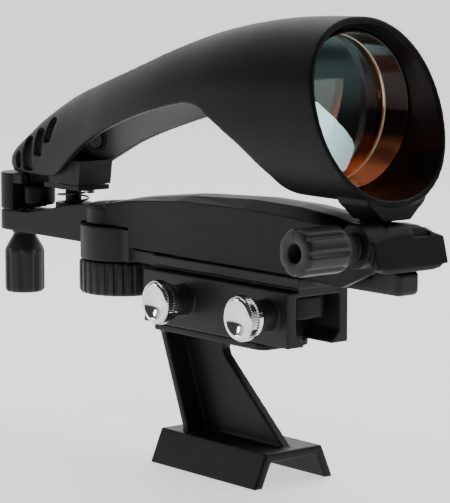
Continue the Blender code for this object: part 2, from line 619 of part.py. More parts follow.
def altitude_yoke(parent):
    """Nut block on the altitude screw: a round-backed post whose two prongs hold the toe down."""
    front = -102.5
    spread = math.degrees(math.acos((front - ALT_X) / YOKE_R))
    plan = arc(ALT_X, 0, YOKE_R, spread, 360 - spread, 28)
    yoke = prism("altitude_yoke", plan, YOKE_BASE_Z, YOKE_TOP_Z, "XY")
    for side in (-1, 1):
        limits = sorted((side * 3.7, side * 6.2))
        join(yoke, box("prong", (front - 2.5, -97.8), limits, (YOKE_PRONG_Z, YOKE_TOP_Z - 0.01)))
    cut(yoke, cylinder("yoke_hole", SCREW_R + 0.35, YOKE_BASE_Z - 1, YOKE_TOP_Z + 1, (ALT_X, 0), segments=24))
    return finish(yoke, LOOKS["charcoal_plastic"], parent)


# x, middle height, half height, half width of the head's outside
HEAD_STATIONS = [
    (-108.0, 79.0, 1.4, 2.0), (-107.2, 78.9, 2.9, 3.4), (-105.2, 78.9, 4.7, 4.6), (-102.0, 79.2, 6.6, 5.4),
    (-97.0, 80.2, 8.7, 6.0), (-90.0, 82.0, 11.2, 6.7), (-76.0, 84.7, 15.1, 8.8), (-60.0, 88.4, 17.7, 11.8),
    (-43.0, 93.0, 18.8, 15.2), (-20.0, 98.3, 19.9, 18.8), (0.0, 101.3, 21.2, 20.8), (15.0, 102.5, 22.5, 21.7),
    (30.0, 102.9, 23.5, 22.1), (48.0, 103.0, 23.8, 22.2), (66.0, 103.0, 23.8, 22.2)]
GRIP_RECESSES = [(-100.3, 2.6, 77.2, 82.2), (-94.4, 4.4, 77.0, 87.0), (-87.4, 4.6, 82.0, 90.2),
                 (-81.4, 4.4, 86.8, 93.4)]
GRIP_DEPTH = 0.9
HEAD_WALL = 2.0
HEAD_SEGMENTS = 48
OVAL_POWER = 2.15


def head_width(x, index):
    """Read one column of the head's stations at x."""
    for left, right in zip(HEAD_STATIONS, HEAD_STATIONS[1:]):
        if left[0] <= x <= right[0]:
            share = (x - left[0]) / (right[0] - left[0])
            return left[index] + share * (right[index] - left[index])
    return HEAD_STATIONS[-1][index]


def oval(x, middle, half_height, half_width, power=OVAL_POWER):
    """A rounded cross-section, a little fuller than an ellipse."""
    ring = []
    for i in range(HEAD_SEGMENTS):
        angle = math.tau * i / HEAD_SEGMENTS
        c, s = math.cos(angle), math.sin(angle)
        y = half_width * math.copysign(abs(c) ** (2 / power), c)
        z = middle + half_height * math.copysign(abs(s) ** (2 / power), s)
        ring.append((x, y, z))
    return ring


def head_reach(x, z):
    """Half width of the head's outside at x and height z."""
    share = abs(z - head_width(x, 1)) / head_width(x, 2)
    return head_width(x, 3) * (1.0 - share ** OVAL_POWER) ** (1.0 / OVAL_POWER)


def head_shell(parent):
    """Hood, two rails and tail in one moulding, with the tilt knuckle and the stem with its toe."""
    shell = loft("head_shell", [oval(*station) for station in HEAD_STATIONS])
    foot = prism("head_foot", [(-4.6, 75.3), (4.6, 75.3), (7.1, 77.6), (9.6, 79.7), (10.4, 82.2), (12.5, 88.0),
                               (-12.5, 88.0), (-10.4, 82.2), (-9.6, 79.7), (-7.1, 77.6)], 50.0, 62.3, "YZ")
    rear_stations = [-79.0, -70.0, -60.0, -43.0, -20.0, 0.0, 15.0, 26.0]
    hollow_rings = [oval(x, head_width(x, 1), head_width(x, 2) - HEAD_WALL, head_width(x, 3) - HEAD_WALL)
                    for x in rear_stations]
    hollow = loft("head_hollow", hollow_rings + [oval(29.8, LENS_Z, 18.9, 18.9, 2.0)])
    seat = turned("lens_seat", [(0, 6.0), (19.4, 6.0), (19.4, -6.0), (0, -6.0)], (LENS_X, 0, LENS_Z), "X", 56,
                  LENS_TILT)
    cell = turned("lens_cell", [(0, 12.0), (20.8, 12.0), (20.8, -1.6), (0, -1.6)], (LENS_X, 0, LENS_Z), "X", 56,
                  LENS_TILT)
    mouth = loft("hood_mouth", [oval(43.4, 102.8, 20.2, 20.2, 2.0), oval(48.0, 103.0, 21.9, 20.7),
                                oval(70.0, 103.0, 22.4, 20.9)])
    rim = box("rim_plane", (0.0, 40.0), (-40.0, 40.0), (-60.0, 60.0))
    rim.rotation_euler = (0.0, -RIM_TILT, 0.0)
    rim.location = metres((RIM_X + 20.0 * math.cos(RIM_TILT), 0.0, HOOD_Z + 20.0 * math.sin(RIM_TILT)))
    below = prism("side_openings", [
        (-120.0, 60.0), (30.4, 60.0), (30.4, 83.0), (29.4, 85.8), (24.0, 92.0), (11.5, 99.6), (6.4, 102.4),
        (3.0, 103.2), (-4.0, 102.6), (-24.0, 98.3), (-48.8, 91.1), (-57.7, 87.6), (-67.0, 82.6),
        (-76.0, 77.6), (-81.0, 76.0), (-85.0, 75.8), (-120.0, 75.8)], -30.0, 30.0, "XZ")
    window_plan = []
    for i in range(36):
        angle = math.tau * i / 36
        x = -38.0 + 40.0 * math.cos(angle)
        window_plan.append((x, 0.62 * head_width(x, 3) * math.sin(angle)))
    window = prism("sight_window", window_plan, 84.0, 140.0, "XY")
    led_room = box("led_room", (-83.6, -66.8), (-6.2, 6.2), (70.0, 81.8))
    stem = box("tail_stem", (-101.6, -96.4), (-3.3, 3.3), (68.0, 80.0))
    toe = cylinder("tail_toe", TOE_R, 65.8, YOKE_PRONG_Z - 0.4, (TOE_X, 0), segments=36)
    neck = box("knuckle_neck", (51.5, 56.4), (-3.4, 3.4), (PIN_Z, 78.0))
    knuckle = cylinder("knuckle", 2.45, -3.39, 3.39, (PIN_X, PIN_Z), "Y", 28)
    pin_hole = cylinder("knuckle_hole", PIN_R + GAP, -6.0, 6.0, (PIN_X, PIN_Z), "Y", 20)
    join(shell, foot)
    cut(shell, hollow, seat, cell, mouth, rim, below, window, led_room)
    for x, length, low, high in GRIP_RECESSES:
        for side in (-1, 1):
            outline = [(side * 12.0, low), (side * 12.0, high)]
            for step in range(4):
                z = high - (high - low) * step / 3
                outline.append((side * (head_reach(x, z) - GRIP_DEPTH), z))
            cut(shell, prism("grip_recess", outline, x - length / 2, x + length / 2, "YZ"))
    join(shell, stem, toe, neck, knuckle)
    cut(shell, pin_hole)
    return finish(shell, LOOKS["charcoal_plastic"], parent)


def lens_profile():
    """Meniscus glass: both faces bulge forward on the same curve."""
    steps = 6
    profile = []
    for i in range(steps + 1):
        radius = LENS_R * i / steps
        sag = radius * radius / (2 * LENS_CURVE_R)
        profile.append((radius, LENS_THICKNESS - sag))
    for i in range(steps, -1, -1):
        radius = LENS_R * i / steps
        sag = radius * radius / (2 * LENS_CURVE_R)
        profile.append((radius, -sag))
    return profile


def head_inner_pieces(parent):
    """Lens and its ring, and the light source under the tail."""
    lens_rear = LENS_X - 0.4
    lens = turned("lens", lens_profile(), (lens_rear, 0, LENS_Z), "X", 56, LENS_TILT)
    finish(lens, LOOKS["glass"], parent)
    ring = turned("lens_ring", [(20.5, 4.8), (20.5, -2.4), (19.6, -2.4), (19.9, 4.8)],
                  (LENS_RING_FRONT_X - 4.8, 0, LENS_Z), "X", 56, LENS_TILT)
    finish(ring, LOOKS["black_metal"], parent)
    housing = prism("led_housing", [(-83.2, 74.2), (-68.5, 74.2), (-67.4, 81.4), (-79.6, 81.4), (-83.2, 79.9)],
                    -5.9, 5.9, "XZ")
    cut(housing, box("led_housing_room", (-80.6, -71.0), (-4.2, 4.2), (73.0, 79.9)))
    finish(housing, LOOKS["charcoal_plastic"], parent)
    board = box("led_board", (-80.2, -71.4), (-3.8, 3.8), (75.6, 76.8))
    finish(board, LOOKS["board"], parent)
    cover = box("led_cover", (-86.6, -68.8), (-5.6, 5.6), (72.5, 73.9))
    screw_places = (-85.0, -71.0)
    for x in screw_places:
        cut(cover, cylinder("cover_hole", 1.0, 70.0, 76.0, (x, 0), segments=20))
    finish(cover, LOOKS["charcoal_plastic"], parent)
    for number, x in enumerate(screw_places, 1):
        length_top = 74.3 if x < -84.0 else 73.8
        screw = turned(f"cover_screw_{number}", [(0, length_top), (0.7, length_top), (0.7, 72.2), (1.7, 72.2),
                                                 (1.5, 71.5), (0, 71.3)], (x, 0, 0), segments=20)
        finish(screw, LOOKS["steel"], parent)
    aim = math.atan2(LENS_Z - 86.6, LENS_X + 72.5)
    holder = turned("led_holder", [(4.0, 5.0), (4.0, -5.0), (2.8, -5.0), (2.8, 5.0)], (-72.5, 0, 86.9), "X", 32,
                    aim)
    finish(holder, LOOKS["black_metal"], parent)
    led = turned("led", [(0, 2.8), (0.9, 2.65), (1.8, 1.9), (2.35, 0.6), (2.45, -0.6), (2.45, -4.4),
                         (0, -4.4)], (-72.5, 0, 86.9), "X", 24, aim)
    finish(led, LOOKS["red_plastic"], parent)
    reticle = turned("reticle_disc", [(2.45, 4.6), (2.45, 3.9), (0.25, 3.9), (0.25, 4.6)], (-72.5, 0, 86.9), "X",
                     24, aim)
    finish(reticle, LOOKS["steel"], parent)
    post = cylinder("spring_post", 2.45, 62.6, 72.1, (POST_X, 0), segments=28)
    finish(post, LOOKS["charcoal_plastic"], parent, bevel=0.4)


def altitude_spring(parent):
    """Compression spring round the post, pushing the head's tail up."""
    wire, coil, turns = 0.32, 4.6, 1.25
    base, top = 68.45, 71.9
    curve = bpy.data.curves.new("altitude_spring", "CURVE")
    curve.dimensions = "3D"
    curve.bevel_depth = wire * MM
    curve.bevel_resolution = 2
    curve.use_fill_caps = True
    steps = int(turns * 18)
    spline = curve.splines.new("POLY")
    spline.points.add(steps)
    for i in range(steps + 1):
        angle = math.tau * turns * i / steps + math.radians(330)
        height = base + wire + (top - base - 2 * wire) * i / steps
        point = (POST_X + coil * math.cos(angle), coil * math.sin(angle), height)
        spline.points[i].co = (*metres(point), 1.0)
    spring = bpy.data.objects.new("altitude_spring", curve)
    curve.materials.append(LOOKS["steel"])
    PIECES.objects.link(spring)
    spring.parent = parent
    spring.matrix_parent_inverse = Matrix.Translation(-parent.location)


clear_scene()
PIECES = collection("finder_scope")
CUTTERS = collection("cutters")
LOOKS = {
    "black_metal": material("black painted metal", BLACK, 0.42, 0.3),
    "charcoal_plastic": material("charcoal plastic", CHARCOAL, 0.48),
    "chrome": material("polished chrome", CHROME, 0.06, 1.0),
    "steel": material("plain steel", STEEL, 0.3, 1.0),
    "brass": material("brass", BRASS, 0.3, 1.0),
    "board": material("circuit board", BOARD_GREEN, 0.5),
    "glass": material("coated glass", GLASS, 0.03, 0.0, 0.9),
    "red_plastic": material("red plastic", RED_TINT, 0.2),
    "white_plastic": material("white plastic", WHITE, 0.5),
}

mounting_bracket()
clamp_slide = joint_empty("clamp_slide_axis", (0, 0, RAIL_TOP_Z))
clamp_body(clamp_slide)
clamp_inner_pieces(clamp_slide)
for screw_name, screw_x in zip(("thumbscrew_rear", "thumbscrew_front"), THUMB_X):
    thumbscrew(screw_name, screw_x,
               joint_empty(screw_name + "_axis", (screw_x, THUMB_BOSS_Y, THUMB_Z), clamp_slide))
pivot = joint_empty("pivot_axis", (PIVOT_X, 0, HUB_BASE_Z), clamp_slide)
dial_axis = joint_empty("dial_axis", (PIVOT_X, 0, DIAL_BASE_Z), clamp_slide)
brightness_dial(dial_axis)
battery_cap(joint_empty("cap_axis", (PIVOT_X, 0, 43.1), clamp_slide))
upper_arm(pivot)
arm_small_pieces(pivot)
adjusting_screws(joint_empty("azimuth_knob_axis", (AZ_X, AZ_BOSS_Y, AZ_Z), pivot),
                 joint_empty("altitude_knob_axis", (ALT_X, 0, TAIL_BASE_Z), pivot))
altitude_yoke(joint_empty("yoke_slide_axis", (ALT_X, 0, YOKE_BASE_Z), pivot))
tilt = joint_empty("head_tilt_axis", (PIN_X, 0, PIN_Z), pivot)
head_shell(tilt)
head_inner_pieces(tilt)
altitude_spring(pivot)
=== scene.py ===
"""Looks of the reflex finder scope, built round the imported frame.

Sizes are in millimetres unless they come from the frame. +X is toward the sky, +Z is up,
and the thumbscrews are on the -Y side.
"""

import math

import bmesh
import bpy
from mathutils import Matrix, Vector


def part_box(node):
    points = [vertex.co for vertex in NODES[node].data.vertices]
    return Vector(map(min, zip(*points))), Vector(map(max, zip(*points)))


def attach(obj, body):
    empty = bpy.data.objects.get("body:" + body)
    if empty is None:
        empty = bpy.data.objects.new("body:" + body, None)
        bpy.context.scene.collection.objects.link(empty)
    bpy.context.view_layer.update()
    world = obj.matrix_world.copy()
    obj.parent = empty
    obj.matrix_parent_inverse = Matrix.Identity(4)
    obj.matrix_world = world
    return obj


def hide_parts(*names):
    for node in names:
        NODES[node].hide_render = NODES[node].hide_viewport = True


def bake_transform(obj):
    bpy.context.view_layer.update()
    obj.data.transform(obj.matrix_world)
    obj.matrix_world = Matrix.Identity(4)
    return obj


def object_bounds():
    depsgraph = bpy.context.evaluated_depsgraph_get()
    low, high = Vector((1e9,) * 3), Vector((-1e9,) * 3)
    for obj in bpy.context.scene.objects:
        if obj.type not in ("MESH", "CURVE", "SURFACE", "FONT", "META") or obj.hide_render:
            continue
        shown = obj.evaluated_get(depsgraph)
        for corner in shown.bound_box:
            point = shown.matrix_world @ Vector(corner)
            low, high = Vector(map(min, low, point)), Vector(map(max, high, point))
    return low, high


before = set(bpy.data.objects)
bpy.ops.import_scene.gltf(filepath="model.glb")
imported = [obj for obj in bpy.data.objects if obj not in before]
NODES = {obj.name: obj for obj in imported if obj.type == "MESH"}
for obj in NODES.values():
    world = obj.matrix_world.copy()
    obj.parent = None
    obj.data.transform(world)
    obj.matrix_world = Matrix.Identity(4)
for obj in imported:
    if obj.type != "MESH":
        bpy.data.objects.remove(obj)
CAD_LOW, CAD_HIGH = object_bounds()
MM = 0.001
MERGE = 0.000001


# ---------------------------------------------------------------- where things are

def node_box(name):
    low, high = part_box(name)
    return low / MM, high / MM


def node_middle(name):
    low, high = node_box(name)
    return (low + high) / 2


# height of the hood's axis
HOOD_Z = 103.0
LENS_MIDDLE = node_middle("lens")
LENS_LOW = node_box("lens")[0]
RING_LOW, RING_HIGH = node_box("lens_ring")
DIAL_LOW, DIAL_HIGH = node_box("brightness_dial")
PIVOT_X = node_middle("brightness_dial").x
THUMB_NODES = ("thumbscrew_rear", "thumbscrew_front")
ALT_X = node_middle("altitude_knob").x
AZ_AXIS = node_middle("azimuth_screw")
PIN = node_middle("hinge_pin")


# ---------------------------------------------------------------- materials

# height of the fine grain of mouldings and of the scratches on metal, in metres
GRAIN_HEIGHT = 0.00008
SCRATCH_HEIGHT = 0.00002
# directions, across and up, toward the low far side of the lens and of the hood
COAT_SIDE = (0.0, 0.8, -0.6)
GLOW_SIDE = (0.0, 0.3, -0.954)
LINING_SIDE = (0.0, 0.4, -0.9165)


def new_material(name, colour, roughness, metallic=0.0):
    made = bpy.data.materials.new(name)
    made.use_nodes = True
    shader = made.node_tree.nodes["Principled BSDF"]
    shader.inputs["Base Color"].default_value = (*colour, 1.0)
    shader.inputs["Roughness"].default_value = roughness
    shader.inputs["Metallic"].default_value = metallic
    return made, made.node_tree, shader


def add_noise(tree, scale, detail=3.0, stretch=(1.0, 1.0, 1.0)):
    """Noise in object space; scale is in features per metre."""
    place = tree.nodes.new("ShaderNodeTexCoord")
    mapping = tree.nodes.new("ShaderNodeMapping")
    mapping.inputs["Scale"].default_value = stretch
    noise = tree.nodes.new("ShaderNodeTexNoise")
    noise.inputs["Scale"].default_value = scale
    noise.inputs["Detail"].default_value = detail
    tree.links.new(place.outputs["Object"], mapping.inputs["Vector"])
    tree.links.new(mapping.outputs["Vector"], noise.inputs["Vector"])
    return noise.outputs["Fac"]


def add_range(tree, value, low, high, start=0.3, end=0.7):
    spread = tree.nodes.new("ShaderNodeMapRange")
    spread.inputs["From Min"].default_value = start
    spread.inputs["From Max"].default_value = end
    spread.inputs["To Min"].default_value = low
    spread.inputs["To Max"].default_value = high
    tree.links.new(value, spread.inputs["Value"])
    return spread.outputs["Result"]


def add_along(tree, toward, start, end, high, place="Object", low=0.0):
    """Value that goes from low to high between start and end, measured along a direction."""
    where = tree.nodes.new("ShaderNodeTexCoord")
    along = tree.nodes.new("ShaderNodeVectorMath")
    along.operation = "DOT_PRODUCT"
    along.inputs[1].default_value = toward
    tree.links.new(where.outputs[place], along.inputs[0])
    return add_range(tree, along.outputs["Value"], low, high, start, end)


def add_mix(tree, factor, first, second):
    mix = tree.nodes.new("ShaderNodeMix")
    mix.data_type = "RGBA"
    tree.links.new(factor, mix.inputs["Factor"])
    for socket, colour in ((mix.inputs["A"], first), (mix.inputs["B"], second)):
        if isinstance(colour, tuple):
            socket.default_value = (*colour, 1.0)
        else:
            tree.links.new(colour, socket)
    return mix.outputs["Result"]


def add_bump(tree, shader, height, strength, distance):
    bump = tree.nodes.new("ShaderNodeBump")
    bump.inputs["Strength"].default_value = strength
    bump.inputs["Distance"].default_value = distance
    tree.links.new(height, bump.inputs["Height"])
    tree.links.new(bump.outputs["Normal"], shader.inputs["Normal"])


def worn_edges(tree, colour, worn, start=0.56, end=0.72):
    """Rubbed, paler corners where the surface turns sharply outward."""
    geometry = tree.nodes.new("ShaderNodeNewGeometry")
    edge = add_range(tree, geometry.outputs["Pointiness"], 0.0, 0.8, start, end)
    return add_mix(tree, edge, colour, worn)


def moulded(name, dark, pale, rough_low, rough_high, grain, depth, worn=None, specular=0.22):
    """Moulded or painted surface: fine grain, slow changes of shade and gloss, rubbed edges."""
    made, tree, shader = new_material(name, dark, rough_low)
    colour = add_mix(tree, add_range(tree, add_noise(tree, 45.0, 4.0), 0.0, 1.0), dark, pale)
    if worn is not None:
        colour = worn_edges(tree, colour, worn)
    tree.links.new(colour, shader.inputs["Base Color"])
    gloss = add_range(tree, add_noise(tree, 260.0, 5.0), rough_low, rough_high, 0.2, 0.8)
    tree.links.new(gloss, shader.inputs["Roughness"])
    add_bump(tree, shader, add_noise(tree, grain, 2.0), depth, GRAIN_HEIGHT)
    shader.inputs["Specular IOR Level"].default_value = specular
    return made


def metal(name, colour, rough_low, rough_high, stretch=(1.0, 1.0, 1.0), depth=0.05):
    """Bare or plated metal with faint scratches drawn out along stretch."""
    made, tree, shader = new_material(name, colour, rough_low, 1.0)
    streaks = add_noise(tree, 900.0, 4.0, stretch)
    tree.links.new(add_range(tree, streaks, rough_low, rough_high), shader.inputs["Roughness"])
    dull = tuple(channel * 0.8 for channel in colour)
    tarnish = add_range(tree, add_noise(tree, 150.0, 4.0), 0.0, 0.6)
    tree.links.new(add_mix(tree, tarnish, colour, dull), shader.inputs["Base Color"])
    add_bump(tree, shader, streaks, depth, SCRATCH_HEIGHT)
    return made


def clear_glass(name, tint, roughness, ior):
    """Clear tinted glass, faintly smudged."""
    made, tree, shader = new_material(name, tint, roughness)
    shader.inputs["Transmission Weight"].default_value = 1.0
    shader.inputs["IOR"].default_value = ior
    shader.inputs["Specular IOR Level"].default_value = 0.15
    smudge = add_range(tree, add_noise(tree, 60.0, 4.0), roughness, roughness + 0.03)
    tree.links.new(smudge, shader.inputs["Roughness"])
    pale = tuple(min(1.0, channel * 1.06) for channel in tint)
    tree.links.new(add_mix(tree, add_noise(tree, 30.0), tint, pale), shader.inputs["Base Color"])
    return made


def mirror_coat(name, colour, second, reach):
    """Thin coloured partial mirror on the glass: reach is how much of it shows at the middle, at the
    low far side and at a slant."""
    made, tree, shader = new_material(name, colour, 0.03, 1.0)
    facing = tree.nodes.new("ShaderNodeLayerWeight")
    facing.inputs["Blend"].default_value = 0.5
    slant = add_range(tree, facing.outputs["Facing"], 0.0, 1.0, 0.45, 0.9)
    level = COAT_SIDE[2] * LENS_MIDDLE.z * MM
    low_side = add_along(tree, COAT_SIDE, level, level + 0.020, 1.0)
    near, far, slanted = reach
    cover = tree.nodes.new("ShaderNodeMix")
    tree.links.new(slant, cover.inputs[0])
    tree.links.new(add_range(tree, low_side, near, far, 0.0, 1.0), cover.inputs[2])
    cover.inputs[3].default_value = slanted
    tree.links.new(cover.outputs[0], shader.inputs["Alpha"])
    tree.links.new(add_mix(tree, add_range(tree, add_noise(tree, 18.0), 0.0, 1.0), colour, second),
                   shader.inputs["Base Color"])
    haze = add_range(tree, add_noise(tree, 200.0), 0.02, 0.06)
    tree.links.new(haze, shader.inputs["Roughness"])
    return made


def painted_sheen_toward_tail(made, pale):
    """Inside of the rails, painted paler toward the tail than the inside of the hood: painted sheen standing
    in for the light they catch.
    """
    tree = made.node_tree
    shader = tree.nodes["Principled BSDF"]
    before = shader.inputs["Base Color"].links[0].from_socket
    place = tree.nodes.new("ShaderNodeTexCoord")
    split = tree.nodes.new("ShaderNodeSeparateXYZ")
    tree.links.new(place.outputs["Object"], split.inputs["Vector"])
    share = add_range(tree, split.outputs["X"], 1.0, 0.0, -0.060, 0.012)
    tree.links.new(add_mix(tree, share, before, pale), shader.inputs["Base Color"])


def painted_coat_glow(made, start, end, strength):
    """Painted glow in the coat's orange, low on the far side of the lens, broken into streaks: emission
    standing in for the coat's reflected colour.
    """
    tree = made.node_tree
    shader = tree.nodes["Principled BSDF"]
    level = GLOW_SIDE[2] * LENS_MIDDLE.z * MM
    low_side = add_along(tree, GLOW_SIDE, level + start, level + end, strength)
    streaks = add_range(tree, add_noise(tree, 160.0, 2.0, (0.25, 1.0, 1.0)), 0.35, 1.0, 0.4, 0.55)
    both = tree.nodes.new("ShaderNodeMath")
    both.operation = "MULTIPLY"
    tree.links.new(low_side, both.inputs[0])
    tree.links.new(streaks, both.inputs[1])
    tree.links.new(both.outputs["Value"], shader.inputs["Emission Strength"])
    shader.inputs["Emission Color"].default_value = (1.0, 0.29, 0.12, 1.0)


def faint_light(made, colour, strength):
    """Light of its own, so that a thin bright edge stays bright in shade."""
    shader = made.node_tree.nodes["Principled BSDF"]
    shader.inputs["Emission Color"].default_value = (*colour, 1.0)
    shader.inputs["Emission Strength"].default_value = strength


def lining_with_painted_glow(name, dark, pale, glow_tint, rough):
    """Lining of the hood's mouth with painted glow: low on the far side its colour turns to the coat's
    orange, standing in for the light the coat throws there.
    """
    made, tree, shader = new_material(name, dark, rough)
    level = LINING_SIDE[2] * HOOD_Z * MM
    glow = add_along(tree, LINING_SIDE, level + 0.010, level + 0.021, 1.0)
    mottled = add_mix(tree, add_range(tree, add_noise(tree, 45.0, 4.0), 0.0, 1.0), dark, pale)
    tree.links.new(add_mix(tree, glow, mottled, glow_tint), shader.inputs["Base Color"])
    gloss = add_range(tree, add_noise(tree, 120.0, 4.0), rough, rough + 0.015)
    tree.links.new(gloss, shader.inputs["Roughness"])
    add_bump(tree, shader, add_noise(tree, 2000.0, 2.0), 0.12, GRAIN_HEIGHT)
    shader.inputs["Specular IOR Level"].default_value = 0.15
    return made


SHELL = moulded("shell_plastic", (0.0045, 0.0045, 0.0048), (0.0075, 0.0075, 0.008), 0.40, 0.45, 2600.0, 0.25,
                (0.045, 0.045, 0.047), 0.10)
ARM = moulded("arm_plastic", (0.008, 0.008, 0.0084), (0.012, 0.012, 0.0126), 0.42, 0.48, 2300.0, 0.28,
              (0.055, 0.055, 0.057), 0.14)
CLAMP = moulded("clamp_plastic", (0.014, 0.014, 0.0147), (0.020, 0.020, 0.021), 0.40, 0.46, 2300.0, 0.28,
                (0.055, 0.055, 0.057), 0.20)
# knobs and dial: base colour paler than the shell's black, painted light standing in for the light they catch
# from below
KNOB = moulded("knob_plastic", (0.018, 0.018, 0.0189), (0.026, 0.026, 0.0273), 0.36, 0.42, 3000.0, 0.18,
               (0.06, 0.06, 0.063), 0.22)
CASTING = moulded("painted_casting", (0.008, 0.008, 0.0085), (0.013, 0.013, 0.0137), 0.38, 0.44, 1500.0, 0.30,
                  (0.07, 0.07, 0.072), 0.17)
# lining: painted orange glow low on the far side of the mouth, standing in for light thrown by the coat
LINING = lining_with_painted_glow("hood_lining", (0.006, 0.006, 0.006), (0.010, 0.009, 0.009), (0.022, 0.009, 0.007), 0.30)
INNER = moulded("inner_wall", (0.016, 0.018, 0.019), (0.026, 0.028, 0.029), 0.22, 0.28, 2000.0, 0.12)
# painted sheen: the rails' insides turn pale toward the tail, standing in for the light they catch
painted_sheen_toward_tail(INNER, (0.24, 0.242, 0.242))
CELL_GLOSS = moulded("lens_cell_gloss", (0.010, 0.009, 0.009), (0.016, 0.013, 0.013), 0.06, 0.10, 1500.0,
                     0.03)
# painted glow: the sleeve's low far side gives orange light of its own, a painted reflection of the coat
painted_coat_glow(CELL_GLOSS, 0.0125, 0.0195, 0.20)
DARK = moulded("dark_recess", (0.006, 0.006, 0.006), (0.010, 0.010, 0.010), 0.55, 0.7, 2000.0, 0.2)
NYLON = moulded("nylon", (0.62, 0.62, 0.58), (0.72, 0.72, 0.68), 0.4, 0.5, 1800.0, 0.1)
BOARD = moulded("board_mask", (0.015, 0.09, 0.035), (0.02, 0.13, 0.05), 0.3, 0.4, 900.0, 0.1)
RED_LED = moulded("led_red", (0.25, 0.012, 0.008), (0.33, 0.02, 0.012), 0.08, 0.14, 500.0, 0.02)
GOLD_EDGE = moulded("ground_glass_edge", (0.56, 0.52, 0.38), (0.72, 0.69, 0.54), 0.18, 0.3, 2500.0, 0.1)
faint_light(GOLD_EDGE, (0.80, 0.76, 0.54), 0.12)
CHROME = metal("polished_chrome", (0.82, 0.82, 0.83), 0.05, 0.12, depth=0.03)
STEEL = metal("plain_steel", (0.50, 0.50, 0.51), 0.22, 0.38, (1.0, 1.0, 0.1), 0.08)
DARK_STEEL = metal("blackened_steel", (0.10, 0.10, 0.105), 0.28, 0.42, (1.0, 1.0, 0.1), 0.08)
BRASS = metal("turned_brass", (0.60, 0.45, 0.20), 0.2, 0.34, (1.0, 0.1, 1.0), 0.08)
LENS_GLASS = clear_glass("lens_glass", (0.58, 0.95, 0.97), 0.0, 1.5)
LENS_COAT = mirror_coat("lens_coat", (0.92, 0.28, 0.13), (0.86, 0.33, 0.18), (0.012, 0.55, 0.42))
# painted glow: the coat's low far side gives orange light of its own, a painted reflection
painted_coat_glow(LENS_COAT, 0.0150, 0.0200, 0.22)


# ---------------------------------------------------------------- mesh helpers

def add_object(name, bm, rotation=None, location=(0.0, 0.0, 0.0)):
    """A bmesh in millimetres becomes an object whose mesh is placed in metres."""
    matrix = Matrix.Translation(Vector(location) * MM)
    if rotation is not None:
        matrix = matrix @ rotation.to_4x4()
    matrix = matrix @ Matrix.Scale(MM, 4)
    mesh = bpy.data.meshes.new(name)
    bm.to_mesh(mesh)
    bm.free()
    mesh.transform(matrix)
    obj = bpy.data.objects.new(name, mesh)
    bpy.context.scene.collection.objects.link(obj)
    return obj


def loft(name, rings, closed=False, rotation=None, location=(0.0, 0.0, 0.0)):
    """Skin through rings of points. Closed joins the last ring to the first, else ends are capped."""
    bm = bmesh.new()
    rows = [[bm.verts.new(point) for point in ring] for ring in rings]
    count = len(rings[0])
    pairs = list(zip(rows, rows[1:]))
    if closed:
        pairs.append((rows[-1], rows[0]))
    for lower, upper in pairs:
        for i in range(count):
            j = (i + 1) % count
            bm.faces.new((lower[i], lower[j], upper[j], upper[i]))
    if not closed:
        bm.faces.new(list(reversed(rows[0])))
        bm.faces.new(rows[-1])
    bmesh.ops.recalc_face_normals(bm, faces=bm.faces)
    return add_object(name, bm, rotation, location)


def box(name, x, y, z):
    """A block between two ends along each axis."""
    bm = bmesh.new()
    bmesh.ops.create_cube(bm, size=1.0)
    bmesh.ops.scale(bm, vec=(x[1] - x[0], y[1] - y[0], z[1] - z[0]), verts=bm.verts)
    return add_object(name, bm, None, ((x[0] + x[1]) / 2, (y[0] + y[1]) / 2, (z[0] + z[1]) / 2))


TURN = {"Z": Matrix.Identity(3), "X": Matrix.Rotation(math.pi / 2, 3, "Y"),
        "Y": Matrix.Rotation(-math.pi / 2, 3, "X")}


def ring_points(radius, height, count, shape=None):
    """Points round the Z axis, at a radius that shape may vary with the angle."""
    points = []
    for i in range(count):
        angle = math.tau * i / count
        reach = radius if shape is None else shape(radius, angle)
        points.append((reach * math.cos(angle), reach * math.sin(angle), height))
    return points


def turned(name, profile, axis="Z", location=(0.0, 0.0, 0.0), count=96, shape=None, closed=True):
    """Profile of (radius, height) turned round an axis. shape may vary a row's radius with angle."""
    rings = [ring_points(radius, height, count, shape) for radius, height in profile]
    return loft(name, rings, closed, TURN[axis], location)


def cylinder(name, radius, start, end, centre, axis="Z", count=48):
    places = {"X": (0.0, *centre), "Y": (centre[0], 0.0, centre[1]), "Z": (*centre, 0.0)}
    return turned(name, [(radius, start), (radius, end)], axis, places[axis], count, closed=False)


def prism(name, outline, start, end, plane="XZ"):
    """A flat outline given thickness along the axis that plane leaves out."""
    order = {"XZ": lambda u, v, w: (u, w, v),
             "YZ": lambda u, v, w: (w, u, v),
             "XY": lambda u, v, w: (u, v, w)}
    place = order[plane]
    return loft(name, [[place(u, v, depth) for u, v in outline] for depth in (start, end)])


def smooth_line(points, steps):
    """Catmull-Rom curve through points of any dimension."""
    result = []
    last = len(points) - 1
    for i in range(last):
        before, start = points[max(i - 1, 0)], points[i]
        end, after = points[i + 1], points[min(i + 2, last)]
        for step in range(steps):
            t = step / steps
            row = []
            for a, b, c, d in zip(before, start, end, after):
                row.append(0.5 * (2 * b + (c - a) * t + (2 * a - 5 * b + 4 * c - d) * t * t
                                  + (3 * b - a - 3 * c + d) * t ** 3))
            result.append(tuple(row))
    result.append(tuple(points[last]))
    return result


def bake(obj):
    """Replace the object's mesh with what its modifiers make."""
    depsgraph = bpy.context.evaluated_depsgraph_get()
    mesh = bpy.data.meshes.new_from_object(obj.evaluated_get(depsgraph))
    obj.modifiers.clear()
    obj.data = mesh
    return obj


def combine(obj, others, operation):
    """Boolean obj with each of the others, which are used up."""
    for other in others:
        boolean = obj.modifiers.new(operation, "BOOLEAN")
        boolean.operation = operation
        boolean.object = other
        boolean.solver = "EXACT"
        bake(obj)
        bpy.data.objects.remove(other, do_unlink=True)
    return obj


